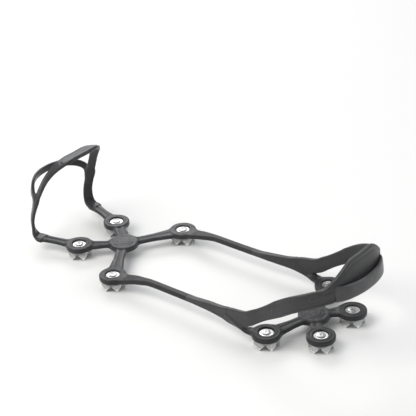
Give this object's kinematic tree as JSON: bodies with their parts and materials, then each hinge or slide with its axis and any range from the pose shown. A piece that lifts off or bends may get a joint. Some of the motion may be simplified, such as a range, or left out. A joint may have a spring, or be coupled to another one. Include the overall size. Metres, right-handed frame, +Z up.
{
  "type": "microspikes",
  "caption": "Slip-on ice traction harness for a shoe: elastomer webs, toe cage, heel strap and pull loop carrying riveted steel crown plates with teeth.",
  "frame": {"origin": "centre of the footprint, on the plane of the tooth tips", "axes": "+Y towards the toe, +Z up through the shoe, +X to the wearer's right"},
  "size_m": [0.1, 0.2989, 0.077],
  "materials": {
    "harness_rubber": "matte moulded elastomer",
    "loop_rubber": "satin moulded elastomer",
    "crown_steel": "stamped stainless steel",
    "rivet_steel": "polished rivet head",
    "washer_steel": "satin washer"
  },
  "bodies": {
    "forefoot": {"forefoot_web": "harness_rubber", "crown_plate_fore_outer_left": "crown_steel", "rivet_fore_outer_left": "rivet_steel", "washer_fore_outer_left": "washer_steel", "crown_plate_fore_outer_right": "crown_steel", "rivet_fore_outer_right": "rivet_steel", "washer_fore_outer_right": "washer_steel", "crown_plate_fore_inner_left": "crown_steel", "rivet_fore_inner_left": "rivet_steel", "washer_fore_inner_left": "washer_steel", "crown_plate_fore_inner_right": "crown_steel", "rivet_fore_inner_right": "rivet_steel", "washer_fore_inner_right": "washer_steel"},
    "toe_cage": {"toe_cage": "harness_rubber"},
    "arch_front": {"arch_strap_front_left": "harness_rubber", "arch_strap_front_right": "harness_rubber"},
    "arch_rear": {"arch_strap_rear_left": "harness_rubber", "arch_strap_rear_right": "harness_rubber"},
    "heel": {"heel_web": "harness_rubber", "crown_plate_heel_outer_left": "crown_steel", "rivet_heel_outer_left": "rivet_steel", "washer_heel_outer_left": "washer_steel", "crown_plate_heel_outer_right": "crown_steel", "rivet_heel_outer_right": "rivet_steel", "washer_heel_outer_right": "washer_steel", "crown_plate_heel_inner_left": "crown_steel", "rivet_heel_inner_left": "rivet_steel", "washer_heel_inner_left": "washer_steel", "crown_plate_heel_inner_right": "crown_steel", "rivet_heel_inner_right": "rivet_steel", "washer_heel_inner_right": "washer_steel"},
    "heel_strap": {"heel_strap": "harness_rubber"},
    "heel_shield": {"heel_shield": "harness_rubber"},
    "pull_loop": {"pull_loop": "loop_rubber"}
  },
  "joints": [
    {"name": "toe_cage_fold", "type": "hinge", "parent": "forefoot", "child": "toe_cage", "pos_m": [0, 0.1304, 0.0095], "axis": [1, 0, 0], "range_deg": [-30, 50], "stiffness_Nm_per_rad": 0.3},
    {"name": "arch_front_fold", "type": "hinge", "parent": "forefoot", "child": "arch_front", "pos_m": [0, 0.0264, 0.0117], "axis": [-1, 0, 0], "range_deg": [-20, 45], "stiffness_Nm_per_rad": 0.8},
    {"name": "arch_stretch", "type": "slide", "parent": "arch_front", "child": "arch_rear", "axis": [0, -1, 0], "range_m": [-0.006, 0.012], "stiffness_N_per_m": 1500},
    {"name": "heel_fold", "type": "hinge", "parent": "arch_rear", "child": "heel", "pos_m": [0, -0.0316, 0.0141], "axis": [-1, 0, 0], "range_deg": [-20, 60], "stiffness_Nm_per_rad": 0.8},
    {"name": "heel_strap_swing", "type": "hinge", "parent": "heel", "child": "heel_strap", "pos_m": [0, -0.0766, 0.0187], "axis": [-1, 0, 0], "range_deg": [-15, 35], "stiffness_Nm_per_rad": 0.4},
    {"name": "heel_shield_flex", "type": "hinge", "parent": "heel_strap", "child": "heel_shield", "pos_m": [0, -0.1421, 0.0589], "axis": [1, 0, 0], "range_deg": [0, 35], "stiffness_Nm_per_rad": 0.05},
    {"name": "pull_loop_pull", "type": "slide", "parent": "heel_strap", "child": "pull_loop", "axis": [0, -1, 0], "range_m": [0, 0.01], "stiffness_N_per_m": 300}
  ]
}
